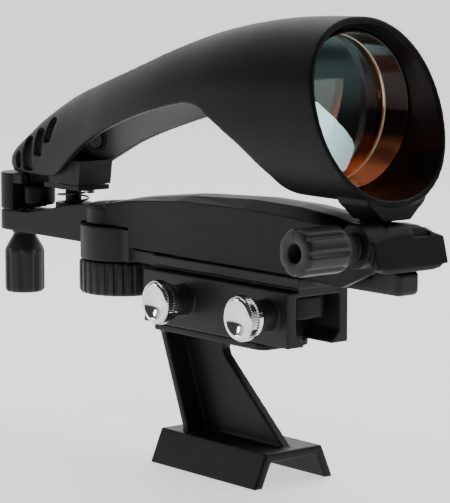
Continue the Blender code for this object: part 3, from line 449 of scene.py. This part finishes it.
def cut(obj, *others):
    return combine(obj, others, "DIFFERENCE")


def join(obj, *others):
    return combine(obj, others, "UNION")


def merge_points(mesh):
    """Join points that lie on top of each other."""
    bm = bmesh.new()
    bm.from_mesh(mesh)
    bmesh.ops.remove_doubles(bm, verts=bm.verts, dist=MERGE)
    bm.to_mesh(mesh)
    bm.free()


def soften(obj, voxel, rounds, keep):
    """Round every corner a little, as a moulding or casting does, within the size it had."""
    corners = [Vector(corner) for corner in obj.bound_box]
    low = [min(corner[axis] for corner in corners) for axis in range(3)]
    high = [max(corner[axis] for corner in corners) for axis in range(3)]
    remesh = obj.modifiers.new("Remesh", "REMESH")
    remesh.mode = "VOXEL"
    remesh.voxel_size = voxel * MM
    remesh.adaptivity = 0.0
    smooth = obj.modifiers.new("Smooth", "SMOOTH")
    smooth.factor = 0.5
    smooth.iterations = rounds
    thin = obj.modifiers.new("Thin", "DECIMATE")
    thin.ratio = keep
    bake(obj)
    for vertex in obj.data.vertices:
        vertex.co = [min(max(vertex.co[axis], low[axis]), high[axis]) for axis in range(3)]
    return obj


def finish(obj, material, body, replaced=(), sharp=None):
    """Shade, paint and hang a piece on its body."""
    obj.data.materials.clear()
    obj.data.materials.append(material)
    obj.data.shade_smooth()
    if sharp is not None:
        obj.data.set_sharp_from_angle(angle=math.radians(sharp))
    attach(obj, body)
    if replaced:
        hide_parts(*replaced)
    return obj


def cad_copy(node, name):
    """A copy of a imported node's solid, to be given rounded corners."""
    mesh = NODES[node].data.copy()
    obj = bpy.data.objects.new(name, mesh)
    bpy.context.scene.collection.objects.link(obj)
    merge_points(mesh)
    return obj


# ---------------------------------------------------------------- head: hood, rails and tail

RIM_TILT = math.radians(18.5)
RIM_X = 55.4
HEAD_WALL = 2.0
GRIP_DEPTH = 1.25
GRIP_CORNER = 0.7
WINDOW_X = -38.0
WINDOW_HALF = 40.0
WINDOW_SHARE = 0.62
TOE_X = -97.1
# the hood's lining starts here; behind it are the insides of the rails
LINING_X = 30.0
# a face is inside when it lies this far in, looks back at the axis this squarely, and is this high
INNER_SHARE = 0.955
INNER_FACING = -0.75
INNER_BASE_Z = 80.5
# x, middle height, half height, half width of the head's outside
HEAD_STATIONS = [
    (-108.0, 79.0, 1.4, 2.0), (-107.2, 78.9, 2.9, 3.4), (-105.2, 78.9, 4.7, 4.6), (-102.0, 79.2, 6.6, 5.4),
    (-97.0, 80.2, 8.7, 6.0), (-90.0, 82.0, 11.2, 6.7), (-76.0, 84.7, 15.1, 8.8), (-60.0, 88.4, 17.7, 11.8),
    (-43.0, 93.0, 18.8, 15.2), (-20.0, 98.3, 19.9, 18.8), (0.0, 101.3, 21.2, 20.8), (15.0, 102.5, 22.5, 21.7),
    (30.0, 102.9, 23.5, 22.1), (48.0, 103.0, 23.8, 22.19), (66.0, 103.0, 23.8, 22.19)]


def oval(x, middle, half_height, half_width, power=2.15, count=128):
    """A ring across the head at x: an ellipse at power 2, a little squarer above it."""
    ring = []
    for i in range(count):
        angle = math.tau * i / count
        c, s = math.cos(angle), math.sin(angle)
        y = half_width * math.copysign(abs(c) ** (2 / power), c)
        z = middle + half_height * math.copysign(abs(s) ** (2 / power), s)
        ring.append((x, y, z))
    return ring


HEAD_LINE = smooth_line(HEAD_STATIONS, 6)
# middle x, length, low and high z, and how far the top leans forward
GRIP_RECESSES = [(-100.3, 2.6, 77.2, 82.2, 0.2), (-94.6, 5.0, 76.9, 87.1, 0.3), (-87.9, 4.8, 81.9, 90.0, 0.8),
                 (-82.3, 4.2, 86.2, 93.6, 2.6)]


def head_at(x):
    """Middle height, half height and half width of the head's outside at x."""
    for left, right in zip(HEAD_LINE, HEAD_LINE[1:]):
        if left[0] <= x <= right[0]:
            share = (x - left[0]) / (right[0] - left[0])
            return [a + share * (b - a) for a, b in zip(left[1:], right[1:])]
    return list(HEAD_LINE[-1][1:])


def grip_slot(side, x, length, low, high, lean):
    """Cutter for one grip recess: as deep as GRIP_DEPTH below the head's surface."""
    left, right, corner = x - length / 2, x + length / 2, GRIP_CORNER
    outline = [(left, low + corner), (left + corner, low), (right - corner, low), (right, low + corner),
               (right + lean, high - corner), (right + lean - corner, high), (left + lean + corner, high),
               (left + lean, high - corner)]
    slot = prism("slot", outline, *sorted((side * 0.6, side * 12.0)))
    core = loft("core", [oval(at, middle, half_height - GRIP_DEPTH, half_width - GRIP_DEPTH)
                         for at, middle, half_height, half_width in HEAD_LINE])
    return cut(slot, core)


def build_head():
    """Hood, two rails under the oval window, tail with grip slots, stem and knuckle, as one moulding."""
    shell = loft("head_shell_piece", [oval(*station) for station in HEAD_LINE])
    foot = prism("foot", [(-4.6, 75.3), (4.6, 75.3), (7.1, 77.6), (9.6, 79.7), (10.4, 82.2), (12.5, 88.0),
                          (-12.5, 88.0), (-10.4, 82.2), (-9.6, 79.7), (-7.1, 77.6)], 50.0, 62.3, "YZ")
    inner = []
    for x, middle, half_height, half_width in HEAD_LINE:
        if -79.5 <= x <= 26.0:
            inner.append(oval(x, middle, half_height - HEAD_WALL, half_width - HEAD_WALL))
    inner.append(oval(29.8, LENS_MIDDLE.z, 18.9, 18.9, 2.0))
    hollow = loft("hollow", inner)
    seat = cylinder("seat", 19.4, 28.3, 40.0, (0.0, LENS_MIDDLE.z), "X", 128)
    cell = cylinder("cell", 20.8, LENS_LOW.x - 0.4, 46.6, (0.0, LENS_MIDDLE.z), "X", 128)
    mouth = loft("mouth", [oval(43.6, 102.8, 20.2, 20.2, 2.0), oval(44.0, 102.8, 21.3, 20.6, 2.0),
                           oval(48.0, 103.0, 22.0, 20.8), oval(70.0, 103.0, 22.5, 21.0)])
    rim = box("rim", (0.0, 40.0), (-40.0, 40.0), (-60.0, 60.0))
    rim.data.transform(Matrix.Translation((RIM_X * MM, 0, HOOD_Z * MM)) @ Matrix.Rotation(-RIM_TILT, 4, "Y"))
    edge = [(30.4, 84.0), (29.6, 86.2), (24.0, 92.2), (17.5, 96.4), (11.5, 99.8), (7.4, 102.0), (3.0, 102.9),
            (-4.0, 102.4), (-24.0, 98.3), (-43.0, 92.9), (-57.7, 87.6), (-67.0, 82.8), (-76.0, 77.8),
            (-81.0, 76.1), (-86.0, 75.8)]
    below = prism("below", smooth_line(edge, 5) + [(-120.0, 75.8), (-120.0, 60.0), (30.4, 60.0)], -30.0, 30.0)
    plan = []
    for i in range(72):
        angle = math.tau * i / 72
        x = WINDOW_X + WINDOW_HALF * math.cos(angle)
        plan.append((x, WINDOW_SHARE * head_at(x)[2] * math.sin(angle)))
    window = prism("window", plan, 84.0, 140.0, "XY")
    led_room = box("led_room", (-83.6, -66.8), (-6.2, 6.2), (70.0, 81.8))
    join(shell, foot)
    cut(shell, hollow, seat, cell, mouth, rim, below, window, led_room)
    for recess in GRIP_RECESSES:
        for side in (-1, 1):
            cut(shell, grip_slot(side, *recess))
    stem = box("stem", (-101.6, -96.4), (-3.3, 3.3), (68.0, 80.0))
    toe = turned("toe", [(3.9, 65.8), (4.6, 66.1), (4.8, 66.8), (4.8, 71.2), (4.6, 71.9)], "Z",
                 (TOE_X, 0.0, 0.0), 64, closed=False)
    neck = box("neck", (51.5, 56.4), (-3.4, 3.4), (PIN.z, 78.0))
    knuckle = cylinder("knuckle", 2.45, -3.39, 3.39, (PIN.x, PIN.z), "Y")
    join(shell, stem, toe, neck, knuckle)
    cut(shell, cylinder("pin", 1.55, -6.0, 6.0, (PIN.x, PIN.z), "Y"))
    soften(shell, 0.34, 9, 0.2)
    finish(shell, SHELL, "head", ("head_shell",))
    shell.data.materials.append(LINING)
    shell.data.materials.append(INNER)
    for face in shell.data.polygons:
        x, y, z = face.center / MM
        middle, half_height, half_width = head_at(max(x, -107.9))
        spoke = Vector((0.0, y / half_width, (z - middle) / half_height))
        facing = face.normal.dot(spoke.normalized())
        if z > INNER_BASE_Z and spoke.length < INNER_SHARE and facing < INNER_FACING:
            face.material_index = 1 if x > LINING_X else 2


build_head()


# ---------------------------------------------------------------- lens and its cell

LENS_R = 20.35
LENS_CURVE_R = 232.0
LENS_THICKNESS = 3.2
SLEEVE_R = 20.5


def lens_face(share):
    """Distance from the axis, and how far the lens has curved back there, at a share of its radius."""
    reach = LENS_R * share
    return reach, -reach ** 2 / (2 * LENS_CURVE_R)


def build_lens():
    """Meniscus lens with its coat, its ground edge and the sleeve that holds it."""
    glass_back = LENS_LOW.x + 0.9
    steps = 12
    back = [lens_face(i / steps) for i in range(steps, -1, -1)]
    front = [(reach, height + LENS_THICKNESS) for reach, height in reversed(back)]
    profile = [(max(r, 0.02), h) for r, h in front[:-1]] + [(LENS_R - 0.35, front[-1][1] + 0.03)]
    profile += [(LENS_R, front[-1][1] - 0.35), (LENS_R, back[0][1] + 0.3), (LENS_R - 0.3, back[0][1])]
    profile += [(max(r, 0.02), h) for r, h in back[1:]]
    glass = turned("lens_glass_piece", profile, "X", (glass_back, 0.0, LENS_MIDDLE.z), 128, closed=False)
    finish(glass, LENS_GLASS, "head", ("lens",), 40)
    rows = [(max(r, 0.02), h + 0.06) for r, h in front[:-1]] + [(LENS_R - 0.5, front[-1][1] + 0.07)]
    rows += [(r, h - 0.04) for r, h in reversed(rows)]
    coat = turned("lens_coat_piece", rows, "X", (glass_back, 0.0, LENS_MIDDLE.z), 128, closed=False)
    finish(coat, LENS_COAT, "head")
    rim_x = glass_back + front[-1][1]
    edge = turned("lens_edge_ring", [(20.42, -0.9), (20.42, 0.3), (20.05, 0.5), (19.55, 0.42), (19.5, 0.2),
                                     (19.9, 0.0), (20.37, -0.5)], "X", (rim_x, 0.0, LENS_MIDDLE.z), 160)
    finish(edge, GOLD_EDGE, "head")
    start, end = RING_LOW.x, RING_HIGH.x
    wall = [(SLEEVE_R, start + 0.2), (SLEEVE_R, end), (SLEEVE_R - 0.25, end + 0.1),
            (SLEEVE_R - 0.55, end - 0.1), (SLEEVE_R - 0.75, start + 3.0), (SLEEVE_R - 0.85, start + 0.1)]
    sleeve = turned("lens_ring_piece", wall, "X", (0.0, 0.0, LENS_MIDDLE.z), 160)
    finish(sleeve, CELL_GLOSS, "head", ("lens_ring",), 40)


build_lens()


# ---------------------------------------------------------------- arm

NOSE_SLANT = 0.27
NOSE_BASE_Z = 64.2


def chin_ring(x, inset):
    """Cross-section of the nose's rounded underside, just clear of the clamp's tongue."""
    low = [(-11.9, 65.2), (-11.3, NOSE_BASE_Z), (-9.8, 63.2), (-7.4, 62.8)]
    outline = low + [(-y, z) for y, z in reversed(low)]
    ring = []
    for y, z in outline:
        height = z + inset
        ring.append((x - NOSE_SLANT * max(height - NOSE_BASE_Z, 0.0), y * (1.0 - 0.06 * inset), height))
    return ring


def build_arm():
    arm = cad_copy("upper_arm", "upper_arm_piece")
    join(arm, loft("chin", [chin_ring(65.2, 0.4), chin_ring(65.8, 0.0), chin_ring(67.7, 0.0),
                            chin_ring(68.2, 0.3), chin_ring(68.45, 0.9)]))
    soften(arm, 0.28, 2, 0.13)
    finish(arm, ARM, "arm", ("upper_arm",))


build_arm()


# ---------------------------------------------------------------- clamp and bracket

def build_clamp():
    clamp = cad_copy("clamp_body", "clamp_body_piece")
    soften(clamp, 0.3, 2, 0.13)
    finish(clamp, CLAMP, "clamp", ("clamp_body",))


def build_bracket():
    bracket = cad_copy("mounting_bracket", "mounting_bracket_piece")
    soften(bracket, 0.33, 9, 0.12)
    finish(bracket, CASTING, "bracket", ("mounting_bracket",))


def build_yoke():
    yoke = cad_copy("altitude_yoke", "altitude_yoke_piece")
    soften(yoke, 0.25, 4, 0.25)
    finish(yoke, ARM, "yoke", ("altitude_yoke",))


build_clamp()
build_bracket()
build_yoke()


# ---------------------------------------------------------------- thumbscrews

THUMB_TEETH = 52


def knurl(depth):
    """Shape of a row of fine teeth cut to a depth."""
    def shape(radius, angle):
        return radius - depth * abs(math.sin(THUMB_TEETH * angle / 2)) ** 0.8
    return shape


def build_thumbscrew(node, body):
    """Shank, plain collar, knurled head with a rounded lip, and a dished face."""
    low, high = node_box(node)
    x, z = (low.x + high.x) / 2, (low.z + high.z) / 2
    head = (high.x - low.x) / 2
    face = low.y
    dish, dish_depth = head - 1.9, 0.86
    # radius, height and depth of the teeth, from the shank's end to the middle of the face
    profile = [
        (1.4, high.y, 0), (1.9, high.y - 0.8, 0), (1.9, face + 5.4, 0), (2.1, face + 5.3, 0),
        (4.9, face + 5.1, 0), (5.2, face + 4.9, 0), (5.3, face + 3.6, 0), (5.6, face + 3.35, 0),
        (head - 0.25, face + 3.1, 0.15), (head - 0.04, face + 2.85, 0.4), (head, face + 2.7, 0.5),
        (head, face + 0.95, 0.5), (head - 0.05, face + 0.8, 0.4), (head - 0.2, face + 0.6, 0.12),
        (head - 0.35, face + 0.42, 0), (head - 0.6, face + 0.22, 0), (head - 1.0, face + 0.07, 0),
        (head - 1.4, face, 0), (head - 1.65, face + 0.05, 0)]
    for share in (1.0, 0.95, 0.88, 0.8, 0.7, 0.6, 0.5, 0.4, 0.3, 0.2, 0.1):
        profile.append((dish * share, face + 0.14 + dish_depth * (1.0 - share ** 2), 0))
    profile.append((0.03, face + 1.0, 0))
    rows = [ring_points(radius, height, THUMB_TEETH * 4, knurl(depth) if depth else None)
            for radius, height, depth in profile]
    screw = loft(node + "_piece", rows, False, TURN["Y"], (x, 0.0, z))
    finish(screw, CHROME, body, (node,), 38)


for thumb_node, thumb_body in zip(THUMB_NODES, ("rear_thumbscrew", "front_thumbscrew")):
    build_thumbscrew(thumb_node, thumb_body)


# ---------------------------------------------------------------- knobs and dial

KNOB_LENGTH = 19.2
KNOB_FLUTES = 8
DIAL_BORE_R = 11.75
DIAL_RIBS = 30


def fluted_shape(flutes, depth, power=2.0):
    """Shape of a row with grooves cut to a depth; a higher power makes them narrower."""
    def shape(radius, angle):
        return radius - depth * max(0.0, math.cos(flutes * angle)) ** power
    return shape


def build_knob(name, node, location, turn, body):
    """Rows run from the neck flange to the open end, and down into its bore."""
    low, high = node_box(node)
    radius = max(high.x - low.x, high.z - low.z if turn != TURN["Z"] else 0.0) / 2 + 0.15
    end = -KNOB_LENGTH
    rows = []
    for height, reach, depth in (
            (0.0, 3.5, 0), (-0.1, 3.75, 0), (-0.7, 3.75, 0), (-0.8, 3.3, 0), (-1.2, 3.3, 0),
            (-1.5, 3.55, 0), (-2.2, 3.9, 0), (-5.0, radius - 0.55, 0.02), (-5.6, radius - 0.22, 0.1),
            (-6.2, radius - 0.04, 0.35), (-6.9, radius, 0.6), (-8.0, radius, 0.72),
            (end + 1.6, radius, 0.72), (end + 1.0, radius, 0.65), (end + 0.5, radius - 0.15, 0.5),
            (end + 0.15, radius - 0.45, 0.3), (end, radius - 0.8, 0.12), (end, 2.75, 0),
            (end + 0.12, 2.55, 0), (end + 0.4, 2.5, 0), (end + 8.0, 2.4, 0), (end + 8.1, 0.05, 0)):
        shape = fluted_shape(KNOB_FLUTES, depth) if depth else None
        rows.append(ring_points(reach, height, KNOB_FLUTES * 16, shape))
    grip = loft(name, rows, False, turn, location)
    finish(grip, KNOB, body, (node,), 42)


ALT_NECK = Vector((ALT_X, 0.0, node_box("altitude_knob")[1].z))
AZ_NECK = Vector((AZ_AXIS.x, node_box("azimuth_knob")[1].y, AZ_AXIS.z))
build_knob("altitude_knob_piece", "altitude_knob", ALT_NECK, TURN["Z"], "altitude_adjuster")
build_knob("azimuth_knob_piece", "azimuth_knob", AZ_NECK, TURN["Y"], "azimuth_adjuster")


def build_dial():
    """Ribbed ring round the battery housing."""
    base, top = DIAL_LOW.z, DIAL_HIGH.z
    radius = (DIAL_HIGH.x - DIAL_LOW.x) / 2
    rows = []
    for reach, height, depth in (
            (DIAL_BORE_R, top - 0.3, 0), (DIAL_BORE_R + 0.3, top, 0), (radius - 0.9, top, 0),
            (radius - 0.5, top - 0.12, 0.15), (radius - 0.1, top - 0.5, 0.4), (radius, top - 0.9, 0.6),
            (radius, base + 1.1, 0.6), (radius - 0.15, base + 0.6, 0.5), (radius - 0.5, base + 0.2, 0.25),
            (radius - 1.0, base, 0), (DIAL_BORE_R + 0.2, base, 0), (DIAL_BORE_R, base + 0.2, 0)):
        shape = fluted_shape(DIAL_RIBS, depth, 1.2) if depth else None
        rows.append(ring_points(reach, height, DIAL_RIBS * 12, shape))
    dial = loft("brightness_dial_piece", rows, True, None, (PIVOT_X, 0.0, 0.0))
    finish(dial, KNOB, "dial", ("brightness_dial",), 42)


build_dial()


# ---------------------------------------------------------------- spring

SPRING_WIRE_R = 0.32
SPRING_TURNS = 1.25
SPRING_START = math.radians(330)


def build_spring():
    """Open coil of wire in the packed spring's place, from its foot to its top."""
    low, high = node_box("altitude_spring")
    middle = (low + high) / 2
    coil = (high.x - low.x) / 2 - SPRING_WIRE_R
    base, top = low.z, high.z
    curve = bpy.data.curves.new("altitude_spring_piece", "CURVE")
    curve.dimensions = "3D"
    curve.bevel_depth = SPRING_WIRE_R * MM
    curve.bevel_resolution = 3
    curve.use_fill_caps = True
    steps = 64
    spline = curve.splines.new("POLY")
    spline.points.add(steps)
    for i in range(steps + 1):
        angle = math.tau * SPRING_TURNS * i / steps + SPRING_START
        height = base + SPRING_WIRE_R + (top - base - 2 * SPRING_WIRE_R) * i / steps
        point = Vector((middle.x + coil * math.cos(angle), coil * math.sin(angle), height)) * MM
        spline.points[i].co = (*point, 1.0)
    spring = bpy.data.objects.new("altitude_spring_piece", curve)
    bpy.context.scene.collection.objects.link(spring)
    bpy.context.view_layer.update()
    depsgraph = bpy.context.evaluated_depsgraph_get()
    mesh = bpy.data.meshes.new_from_object(spring.evaluated_get(depsgraph))
    bpy.data.objects.remove(spring, do_unlink=True)
    merge_points(mesh)
    mesh.shade_smooth()
    mesh.materials.clear()
    mesh.materials.append(DARK_STEEL)
    spring = bpy.data.objects.new("altitude_spring_piece", mesh)
    bpy.context.scene.collection.objects.link(spring)
    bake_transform(spring)
    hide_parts("altitude_spring")


build_spring()


# ---------------------------------------------------------------- nodes kept as packed

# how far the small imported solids' edges are rounded
EDGE_ROUNDING = 0.12
KEPT = {
    "led_housing": SHELL, "led_cover": SHELL, "led_holder": DARK, "led": RED_LED, "reticle_disc": DARK_STEEL,
    "led_board": BOARD, "circuit_board": BOARD, "cover_screw_1": STEEL, "cover_screw_2": STEEL,
    "spring_post": SHELL, "battery_cap": KNOB, "battery_contact": BRASS, "coin_cell": STEEL,
    "azimuth_nut": BRASS, "pivot_nut": STEEL, "pivot_bolt": STEEL, "pivot_washer": NYLON, "hinge_pin": STEEL,
    "azimuth_screw": STEEL, "azimuth_clip": STEEL, "altitude_screw": STEEL, "altitude_clip": STEEL}
for kept_name, kept_material in KEPT.items():
    kept = NODES[kept_name]
    if not kept.material_slots:
        kept.data.materials.append(kept_material)
    for material_slot in kept.material_slots:
        material_slot.material = kept_material
    rounding = kept.modifiers.new("Rounded edges", "BEVEL")
    rounding.width = EDGE_ROUNDING * MM
    rounding.segments = 2
    rounding.limit_method = "ANGLE"
    rounding.angle_limit = math.radians(40)
    rounding.harden_normals = False


# ---------------------------------------------------------------- floor, light and camera

def plain_floor():
    """Pale paper that gives light of its own, so that no lamp shows in it."""
    bm = bmesh.new()
    bmesh.ops.create_grid(bm, x_segments=1, y_segments=1, size=9000.0)
    floor = add_object("studio_floor", bm, None, (0.0, 0.0, CAD_LOW.z / MM - 0.02))
    made, tree, shader = new_material("pale_floor", (0.86, 0.86, 0.86), 0.6)
    tree.links.new(add_mix(tree, add_noise(tree, 3.0), (0.86, 0.86, 0.86), (0.88, 0.88, 0.88)),
                   shader.inputs["Base Color"])
    shader.inputs["Emission Color"].default_value = (1.0, 1.0, 1.0, 1.0)
    shader.inputs["Emission Strength"].default_value = 0.95
    floor.data.materials.append(made)


AIM = Vector((0.0, 0.0, 70.0)) * MM
CAMERA_TARGET = Vector((-7.17, 0.0, 60.4)) * MM
CAMERA_DISTANCE = 0.65
CAMERA_AZIMUTH = 50.8
CAMERA_ELEVATION = 7.55
# paper behind the object is bright this way, and the room is dark the other way
PAPER_SIDE = (-0.77, 0.63, -0.1)
ROOM_STRENGTH = 0.06
PAPER_STRENGTH = 1.9


def direction(azimuth, elevation):
    """Unit vector away from the object; azimuth 0 is the near side and 90 is the front."""
    a, e = math.radians(azimuth), math.radians(elevation)
    return Vector((math.sin(a) * math.cos(e), -math.cos(a) * math.cos(e), math.sin(e)))


def area_light(name, place, back, size, power, colour=(1.0, 1.0, 1.0), shape="RECTANGLE"):
    """A lamp at place, shining away from back."""
    lamp = bpy.data.lights.new(name, "AREA")
    lamp.shape = shape
    lamp.size, lamp.size_y = size
    lamp.energy = power
    lamp.color = colour
    holder = bpy.data.objects.new(name, lamp)
    bpy.context.scene.collection.objects.link(holder)
    holder.location = place
    holder.rotation_euler = back.to_track_quat("Z", "Y").to_euler()
    return holder


def aimed_light(name, azimuth, elevation, distance, size, power, shape="RECTANGLE"):
    """A soft box aimed at the object."""
    back = direction(azimuth, elevation)
    area_light(name, AIM + back * distance, back, size, power, shape=shape)


def studio():
    """Bright paper behind the object, dim room in front, lamps on the left, behind and overhead."""
    world = bpy.data.worlds.new("studio")
    bpy.context.scene.world = world
    world.use_nodes = True
    tree = world.node_tree
    background = tree.nodes["Background"]
    background.inputs["Color"].default_value = (1.0, 1.0, 1.0, 1.0)
    toward = add_along(tree, PAPER_SIDE, 0.25, 0.85, PAPER_STRENGTH, "Generated", ROOM_STRENGTH)
    tree.links.new(toward, background.inputs["Strength"])
    aimed_light("key", -50.0, 8.0, 0.9, (0.17, 0.17), 0.45, shape="DISK")
    aimed_light("left_top", -35.0, 55.0, 1.0, (0.5, 0.4), 1.3)
    aimed_light("fill", 150.0, 35.0, 1.0, (0.4, 0.6), 2.4)
    inside_hood, low_far_side = Vector((49.0, -15.0, 94.0)), Vector((44.0, 14.0, 88.0))
    glow = area_light("lens_glow", inside_hood * MM, inside_hood - low_far_side, (9.0 * MM, 5.0 * MM), 0.0018,
                      (1.0, 0.33, 0.10))
    glow.visible_camera = False
    aimed_light("top", 215.0, 65.0, 0.9, (0.8, 0.6), 4.0)


def photo_camera():
    """Long lens, level with the arm, in front and on the near side."""
    back = direction(CAMERA_AZIMUTH, CAMERA_ELEVATION)
    camera = bpy.data.cameras.new("camera")
    camera.sensor_width = 36.0
    camera.lens = 167.5
    camera.clip_start, camera.clip_end = 0.01, 20.0
    holder = bpy.data.objects.new("camera", camera)
    bpy.context.scene.collection.objects.link(holder)
    holder.location = CAMERA_TARGET + back * CAMERA_DISTANCE
    holder.rotation_euler = (-back).to_track_quat("-Z", "Y").to_euler()
    bpy.context.scene.camera = holder


plain_floor()
studio()
photo_camera()
